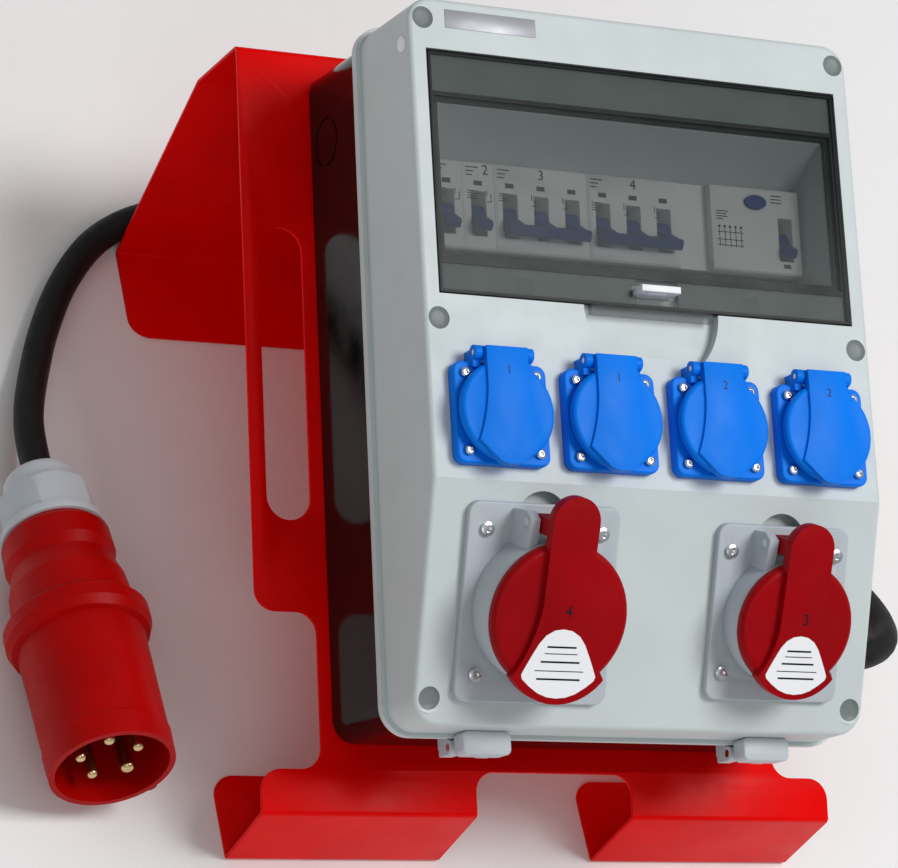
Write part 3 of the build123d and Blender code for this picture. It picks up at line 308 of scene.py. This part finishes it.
def copied(piece, places, name):
    """One model, a copy with its own mesh at each place, all joined."""
    copies = []
    for place in places:
        twin = piece.copy()
        twin.data = piece.data.copy()
        bpy.context.scene.collection.objects.link(twin)
        put(twin, place)
        copies.append(twin)
    bpy.data.objects.remove(piece)
    return joined(copies, name)


def finished(piece, finish, body):
    piece.data.materials.clear()
    piece.data.materials.append(finish)
    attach(piece, body)
    return piece


def lettering(text, size, place, finish, body, name):
    """A plain digit as a thin raised print."""
    deselect_all()
    bpy.ops.object.text_add(location=(0, 0, 0))
    writing = bpy.context.active_object
    writing.data.body = text
    writing.data.size = size * MM
    writing.data.align_x = "CENTER"
    writing.data.align_y = "CENTER"
    writing.data.extrude = 0.05 * MM
    writing.data.resolution_u = 3
    bpy.ops.object.convert(target="MESH")
    piece = started(name)
    put(piece, place)
    return finished(piece, finish, body)


def facing_up(face):
    return face.normal.z > 0.9 and face.calc_center_median().z > 0


# ================= cable =================
PLUG_REAR = Vector((-240.0, FOOT_Y + 205.0, 25.4))
PLUG_MOUTH = Vector((-236.0, FOOT_Y + 25.5, 47.4))
plug_axis = (PLUG_MOUTH - PLUG_REAR).normalized()
gland_mouth = spot(panel, 141.0, 100.0, 32.0).translation / MM
# x, back from the foot edge, height
CABLE_DOWN = (
    (178.0, 71.1, 3.4), (194.0, 82.1, 9.4), (203.0, 99.1, 20.4), (208.0, 120.1, 34.4),
    (210.5, 146.1, 52.4), (213.0, 180.1, 74.4), (216.0, 217.1, 91.4), (218.0, 257.1, 100.4),
)
CABLE_FLOOR = (
    (217.0, 299.1), (206.0, 341.1), (180.0, 376.1), (142.0, 398.1), (97.0, 408.1), (50.0, 411.1),
    (3.0, 410.1), (-45.0, 407.3), (-92.0, 404.1), (-135.0, 395.5), (-174.0, 376.5), (-200.0, 343.5),
)
CABLE_RISE = ((-217.0, 308.1, 8.4), (-228.0, 276.5, 11.0), (-236.0, 251.5, 16.0))
CABLE_REST = 8.2
route = [gland_mouth, gland_mouth + Vector((18.0, 0, 0))]
route += [Vector((x, FOOT_Y + back, gland_mouth.z - down)) for x, back, down in CABLE_DOWN]
route += [Vector((x, FOOT_Y + back, CABLE_REST)) for x, back in CABLE_FLOOR]
route += [Vector((x, FOOT_Y + back, up)) for x, back, up in CABLE_RISE]
route += [PLUG_REAR - plug_axis * 24.0, PLUG_REAR]

cable_data = bpy.data.curves.new("power_cable", "CURVE")
cable_data.dimensions = "3D"
spline = cable_data.splines.new("NURBS")
spline.points.add(len(route) - 1)
for point, at in zip(spline.points, route):
    point.co = (*(at * MM), 1.0)
spline.order_u = 3
spline.use_endpoint_u = True
spline.resolution_u = 10
cable_data.bevel_depth = CABLE_RADIUS * MM
cable_data.bevel_resolution = 7
cable_data.use_fill_caps = True
cable = bpy.data.objects.new("power_cable", cable_data)
bpy.context.scene.collection.objects.link(cable)
cable_data.materials.append(cable_rubber)
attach(cable, "box_and_stand")
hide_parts("supply_cable")


# ================= edges eased on the moulded and folded parts =================
def eased(node, width, finish, body, segments=2, angle=35.0):
    """A merged copy of a part with its hard edges rounded over, shown in its place."""
    source = nodes[node]
    piece = bpy.data.objects.new(node + "_eased", source.data.copy())
    bpy.context.scene.collection.objects.link(piece)
    only(piece)
    bpy.ops.object.mode_set(mode="EDIT")
    bpy.ops.mesh.select_all(action="SELECT")
    bpy.ops.mesh.remove_doubles(threshold=0.00001)
    bpy.ops.mesh.dissolve_limited(angle_limit=math.radians(1.0))
    bpy.ops.object.mode_set(mode="OBJECT")
    piece.data.shade_smooth()
    rounded(piece, width, segments, angle)
    finished(piece, finish, body)
    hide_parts(node)
    return piece


for size in ("32", "16"):
    eased(f"cee_{size}_lid", 0.9, crimson, f"red_lid_{size}", 3)
    eased(f"cee_{size}_flange", 0.5, housing_grey, "lid")
    eased(f"cee_{size}_collar", 0.5, housing_grey, "lid")
for number in range(1, 5):
    eased(f"blue_socket_{number}_lid", 0.45, socket_blue, f"blue_lid_{number}")
    eased(f"blue_socket_{number}_body", 0.4, socket_blue, "lid")
    eased(f"breaker_{number}_body", 0.25, device_grey, "box_and_stand")
    eased(f"breaker_{number}_toggle", 0.35, toggle_blue, f"breaker_toggle_{number}")
eased("rcd_body", 0.3, device_grey, "box_and_stand")
eased("rcd_toggle", 0.35, toggle_blue, "rcd_toggle")
eased("lid_hinge_halves", 0.8, hinge_grey, "lid")
eased("padlock_eye", 0.5, white_print, "lid")
plug_nut = eased("plug_clamp_nut", 0.6, hinge_grey, "box_and_stand")
eased("stand_frame", 0.35, powder_red, "box_and_stand")


# ================= screws and caps =================
def pan_head(radius, height):
    """A domed head with a six-lobed recess, its seat at z = 0."""
    deselect_all()
    bpy.ops.mesh.primitive_cylinder_add(vertices=24, radius=radius * MM, depth=height * MM,
                                        location=(0, 0, height * MM / 2))
    piece = started("pan_head")
    put(piece, Matrix.Identity(4))

    def dome():
        bpy.ops.mesh.inset(thickness=radius * 0.22 * MM)
        bpy.ops.transform.translate(value=(0, 0, height * 0.16 * MM))
        bpy.ops.mesh.inset(thickness=radius * 0.28 * MM)
        bpy.ops.transform.translate(value=(0, 0, height * 0.08 * MM))
        bpy.ops.mesh.inset(thickness=radius * 0.02 * MM)

    def recess():
        bpy.ops.mesh.extrude_region_move(TRANSFORM_OT_translate={"value": (0, 0, -height * 0.7 * MM)})

    def crown(face):
        return face.normal.z > 0.9 and face.calc_center_median().xy.length < 0.01 * MM

    shaped(piece, (crown, dome))
    centre_face = max((p for p in piece.data.polygons if p.normal.z > 0.9), key=lambda p: p.center.z)
    for index in centre_face.vertices:
        vertex = piece.data.vertices[index]
        turn = math.atan2(vertex.co.y, vertex.co.x)
        shrink = 0.86 + 0.16 * math.cos(6 * turn)
        vertex.co.x *= shrink
        vertex.co.y *= shrink
    shaped(piece, (lambda face: face.normal.z > 0.9 and len(face.verts) == 24, recess))
    only(piece)
    bpy.ops.object.shade_smooth_by_angle(angle=math.radians(32))
    return piece


socket_xs = [(i - 1.5) * SOCKET_PITCH for i in range(4)]
blue_places = []
for socket_x in socket_xs:
    for dx in (-1, 1):
        for dy in (-1, 1):
            blue_places.append(spot(
                upper_face, socket_x + dx * SOCKET_SCREWS / 2, SOCKET_UP + dy * SOCKET_SCREWS / 2, 6.0,
            ) @ Matrix.Rotation(0.7 * len(blue_places), 4, "Z"))
heads = copied(pan_head(2.5, 1.75), blue_places, "blue_flange_screw_heads")
finished(heads, steel, "lid")
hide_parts("blue_socket_screws")

red_places = []
for _, x, (across, along), *_ in CEE_SOCKETS:
    for dx in (-1, 1):
        for dy in (-1, 1):
            red_places.append(spot(
                lower_face, x + dx * across / 2, -CEE_BELOW + dy * along / 2, 4.0,
            ) @ Matrix.Rotation(0.9 * len(red_places), 4, "Z"))
heads = copied(pan_head(3.4, 1.75), red_places, "red_flange_screw_heads")
finished(heads, steel, "lid")
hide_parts("red_socket_screws")

deselect_all()
bpy.ops.mesh.primitive_cylinder_add(vertices=40, radius=CAP_RADIUS * MM, depth=CAP_HEIGHT * MM,
                                    location=(0, 0, CAP_HEIGHT * MM / 2))
cap = started("cap")
put(cap, Matrix.Identity(4))


def dish():
    bpy.ops.mesh.inset(thickness=0.45 * MM)
    bpy.ops.transform.translate(value=(0, 0, -0.1 * MM))
    bpy.ops.mesh.inset(thickness=0.5 * MM)
    bpy.ops.transform.translate(value=(0, 0, -0.35 * MM))
    bpy.ops.mesh.inset(thickness=1.6 * MM)
    bpy.ops.transform.translate(value=(0, 0, -0.25 * MM))


shaped(cap, (facing_up, dish))
only(cap)
bpy.ops.object.shade_smooth_by_angle(angle=math.radians(40))
cap_places = [spot(upper_face, x, y, -4.0) for y in (230.3, 78.4) for x in (-CAP_X, CAP_X)]
cap_places += [spot(lower_face, x, -105.2, -4.0) for x in (-CAP_X, CAP_X)]
caps = copied(cap, cap_places, "lid_screw_covers")
finished(caps, cap_grey, "lid")
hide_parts("screw_caps")

# ================= window =================

def frame_ring(name, half, low, high, band, z_low, z_high):
    """A flat rectangular ring: an outer block with its middle taken in and sunk through."""
    deselect_all()
    bpy.ops.mesh.primitive_cube_add(size=1.0)
    piece = started(name)
    centre = Vector((0, (low + high) / 2, (z_low + z_high) / 2)) * MM
    size = Vector((2 * half, high - low, z_high - z_low)) * MM
    put(piece, Matrix.Translation(centre) @ Matrix.Diagonal((*size, 1)))

    def open_middle():
        bpy.ops.mesh.inset(thickness=band * MM)
        bpy.ops.mesh.bridge_edge_loops()

    shaped(piece, (lambda face: abs(face.normal.z) > 0.9, open_middle))
    rounded(piece, 0.25, 2)
    return put(piece, upper_face)


rim = frame_ring("door_rim", DOOR_HALF - 0.1, DOOR_LOW + 0.1, DOOR_HIGH - 0.1, 1.7, -3.2, -0.1)
finished(rim, rim_dark, "window_door")

# ================= prints, labels and indicators =================
for number, digit in enumerate("1122", 1):
    lettering(digit, 6.0, spot(upper_face, socket_xs[number - 1] + 0.5, SOCKET_UP + 19.5, SOCKET_LID_TOP),
              navy_ink, f"blue_lid_{number}", f"blue_lid_digit_{number}")
for size, x, _, radius, mouth_up, _, _, digit in CEE_SOCKETS:
    mouth = spot(spot(lower_face, x, -CEE_BELOW), 0, -CEE_DROP, mouth_up, CEE_TILT)
    lettering(digit, 8.0, spot(mouth, 1.5, 4.0, CEE_LID_TOP + 0.02), ink, f"red_lid_{size}", f"red_lid_digit_{size}")


def bars(name, plane, rows, finish, body, height=0.08):
    """Small raised print bars: each row is x, y, width, height."""
    made = []
    for x, y, w, h in rows:
        deselect_all()
        bpy.ops.mesh.primitive_cube_add(size=1.0)
        piece = started("bar")
        size = Matrix.Diagonal((w * MM, h * MM, height * MM, 1))
        put(piece, plane @ Matrix.Translation((x * MM, y * MM, height * MM / 2)) @ size)
        made.append(piece)
    return finished(joined(made, name), finish, body)


def pole_x(pole):
    return ROW_START + (pole + 0.5) * MODULE


nose = spot(panel, 0, ROW_CENTRE, NOSE_FRONT)
rcd_nose = spot(panel, 0, ROW_CENTRE, NOSE_FRONT + 3.0)
windows = [(pole_x(pole), 11.6, 4.6, 2.4) for pole in range(8)]
bars("pole_indicators", nose, windows, green, "box_and_stand", height=0.15)
bars("rcd_indicator", rcd_nose, [(pole_x(11), -18.0, 4.2, 2.2)], green, "box_and_stand", height=0.15)
lines = []
for first, count in ((0, 1), (1, 1), (2, 3), (5, 3)):
    left = ROW_START + first * MODULE
    for i, width in enumerate((7.0, 4.6, 3.6)):
        lines.append((left + 2.2 + width / 2, 19.6 - 2.0 * i, width, 0.55))
    for i, width in enumerate((5.6, 6.4, 5.2, 6.0)):
        lines.append((left + 2.6 + width / 2, 7.4 - 1.25 * i, width, 0.42))
    for pole in range(max(count - 1, 1)):
        x = left + (13.5 if count == 1 else MODULE * (pole + 1) + 3.5)
        lines.append((x, 6.6, 0.4, 3.4))
        lines.append((x + 2.2, 4.4, 0.4, 4.2))
        lines.append((x + 1.0, 2.4, 2.4, 0.4))
bars("breaker_prints", nose, lines, ink, "box_and_stand")
diagram = []
left = ROW_START + 9 * MODULE
for i, width in enumerate((7.2, 6.0, 6.6, 4.0)):
    diagram.append((left + 3.0 + width / 2, 8.6 - 1.4 * i, width, 0.5))
for i in range(5):
    diagram.append((left + 4.4 + 3.2 * i, -5.4, 0.4, 9.6))
    diagram.append((left + 4.4 + 3.2 * i, 0.4, 1.3, 1.3))
for y in (-2.4, -6.4, -9.4):
    diagram.append((left + 10.8, y, 15.4, 0.4))
for i in range(3):
    diagram.append((left + 2 * MODULE + 4.2, 19.0 - 1.8 * i, 6.4, 0.5))
bars("rcd_diagram", rcd_nose, diagram, ink, "box_and_stand")
for pole, dx, digit in ((1, 4.3, "2"), (3, 0.5, "3"), (6, 0.5, "4")):
    lettering(digit, 7.4, spot(nose, pole_x(pole) + dx, 18.4, 0.1), ink, "box_and_stand", f"breaker_digit_{digit}")

# painted shade: grey half-clear bands under the door's outer parts darken the pocket behind them, which lies in
# shade; dark lines run along them
middle = (DOOR_LOW + BAND_FOOT) / 2
bands = [
    (0, (DOOR_HIGH + BAND_TOP) / 2, 2 * (DOOR_HALF - DOOR_EDGE), DOOR_HIGH - BAND_TOP - DOOR_EDGE),
    (-60.5, middle, 107.0, BAND_FOOT - DOOR_LOW - DOOR_EDGE),
    (65.5, middle, 97.0, BAND_FOOT - DOOR_LOW - DOOR_EDGE),
]
under_door = spot(upper_face, 0, 0, -2.6)
bars("door_painted_shade_bands", under_door, bands, band_painted_shade, "window_door", height=0.5)
seams = [
    (0, BAND_TOP, 2 * (DOOR_HALF - DOOR_EDGE), 2.2), (0, BAND_FOOT, 2 * (DOOR_HALF - DOOR_EDGE), 2.6),
]
for side in (-1, 1):
    seams.append((side * SEAM_X, (BAND_TOP + BAND_FOOT) / 2, SEAM_WIDTH, BAND_TOP - BAND_FOOT))
bars("door_seams", spot(upper_face, 0, 0, -2.9), seams, rim_dark, "window_door", height=1.6)

# blank plate near the lid's upper left corner
deselect_all()
bpy.ops.mesh.primitive_cube_add(size=1.0)
plate = started("blank_plate")
put(plate, Matrix.Diagonal((*[side * MM for side in PLATE_SIZE], 1)))
rounded(plate, 0.1, 2)
put(plate, spot(upper_face, -80.5, 231.0, 0.17))
finished(plate, silver_label, "lid")

# round blank button on the lid's left side
deselect_all()
bpy.ops.mesh.primitive_cylinder_add(vertices=32, radius=4.0 * MM, depth=1.2 * MM)
side_disc = started("side_disc")
shaped(side_disc, (facing_up, lambda: bpy.ops.mesh.inset(thickness=0.8 * MM, depth=0.15 * MM)))
rounded(side_disc, 0.25, 2)
put(side_disc, spot(panel, -125.6, 380.0, 114.0) @ Matrix.Rotation(math.radians(-90), 4, "Y"))
finished(side_disc, white_print, "lid")

# drop-shaped blank labels on the red lids
LABEL_OUTLINE = (
    (0.00, -0.12), (0.13, -0.14), (0.25, -0.21), (0.34, -0.32), (0.42, -0.47), (0.50, -0.63), (0.55, -0.74),
    (0.53, -0.80), (0.42, -0.89), (0.28, -0.98), (0.14, -1.03), (0.00, -1.045),
)
for size, x, _, radius, mouth_up, _, _, _ in CEE_SOCKETS:
    mouth = spot(spot(lower_face, x, -CEE_BELOW), 0, -CEE_DROP, mouth_up, CEE_TILT)
    disc = radius + 0.6
    outline = list(LABEL_OUTLINE) + [(-a, b) for a, b in reversed(LABEL_OUTLINE[1:-1])]
    deselect_all()
    bpy.ops.mesh.primitive_circle_add(vertices=len(outline), radius=1.0, fill_type="NGON")
    label = started(f"red_lid_label_{size}")
    for vertex, (a, b) in zip(label.data.vertices, reversed(outline)):
        vertex.co = (a * disc * MM, b * disc * MM, 0)
    only(label)
    bpy.ops.object.mode_set(mode="EDIT")
    bpy.ops.mesh.select_all(action="SELECT")
    bpy.ops.mesh.normals_make_consistent(inside=False)
    bpy.ops.mesh.extrude_region_move(TRANSFORM_OT_translate={"value": (0, 0, LABEL_THICK * MM)})
    bpy.ops.mesh.select_all(action="SELECT")
    bpy.ops.mesh.normals_make_consistent(inside=False)
    bpy.ops.object.mode_set(mode="OBJECT")
    put(label, spot(mouth, 0, 0, CEE_LID_TOP - 0.02))
    finished(label, white_print, f"red_lid_{size}")
    marks = []
    for i, (half, y) in enumerate(((0.24, -0.36), (0.27, -0.45), (0.32, -0.56), (0.40, -0.68), (0.36, -0.79))):
        marks.append((0, y * disc, 2 * half * disc * 0.9, 0.45 if i % 2 else 0.9))
    bars(f"red_lid_marks_{size}", spot(mouth, 0, 0, CEE_LID_TOP + 0.22), marks, ink, f"red_lid_{size}", height=0.05)

# rings round the pin ends on the red sockets' ears
ear_rings = []
for size, x, _, radius, _, pin_up, pin_out, _ in CEE_SOCKETS:
    for end in (-1, 1):
        deselect_all()
        bpy.ops.mesh.primitive_torus_add(major_radius=2.9 * MM, minor_radius=0.45 * MM, major_segments=32,
                                         minor_segments=10)
        ring = started("ear_ring")
        put(ring, spot(lower_face, x + end * 17.9, -CEE_BELOW + pin_up, pin_out)
            @ Matrix.Rotation(math.radians(90), 4, "Y"))
        ear_rings.append(ring)
rings = joined(ear_rings, "ear_rings")
only(rings)
bpy.ops.object.shade_smooth()
finished(rings, housing_grey, "lid")

# ================= floor, light =================
deselect_all()
bpy.ops.mesh.primitive_plane_add(size=60.0, location=(0, 0, 0))
floor = started("floor")
floor_finish = surface("floor_pale", (0.93, 0.93, 0.93), 0.985, (0.8, 0.9), 60.0, 0.01, specular=0.1)
floor.data.materials.append(floor_finish)

world = bpy.data.worlds.new("studio")
bpy.context.scene.world = world
world.use_nodes = True
sky = world.node_tree.nodes["Background"]
sky.inputs["Color"].default_value = (1, 1, 1, 1)
sky.inputs["Strength"].default_value = 0.33
bpy.context.scene.view_settings.view_transform = "Standard"


def soft_light(name, at, towards, size, power):
    lamp = bpy.data.lights.new(name, "AREA")
    lamp.shape = "SQUARE"
    lamp.size = size
    lamp.energy = power
    thing = bpy.data.objects.new(name, lamp)
    bpy.context.scene.collection.objects.link(thing)
    thing.location = at
    thing.rotation_euler = (Vector(towards) - Vector(at)).to_track_quat("-Z", "Y").to_euler()


soft_light("key", (1.0, -0.35, 2.5), (0, 0, 0.1), 1.0, 42.0)
soft_light("fill", (-0.9, -1.9, 1.8), (0, 0, 0.15), 1.4, 7.0)
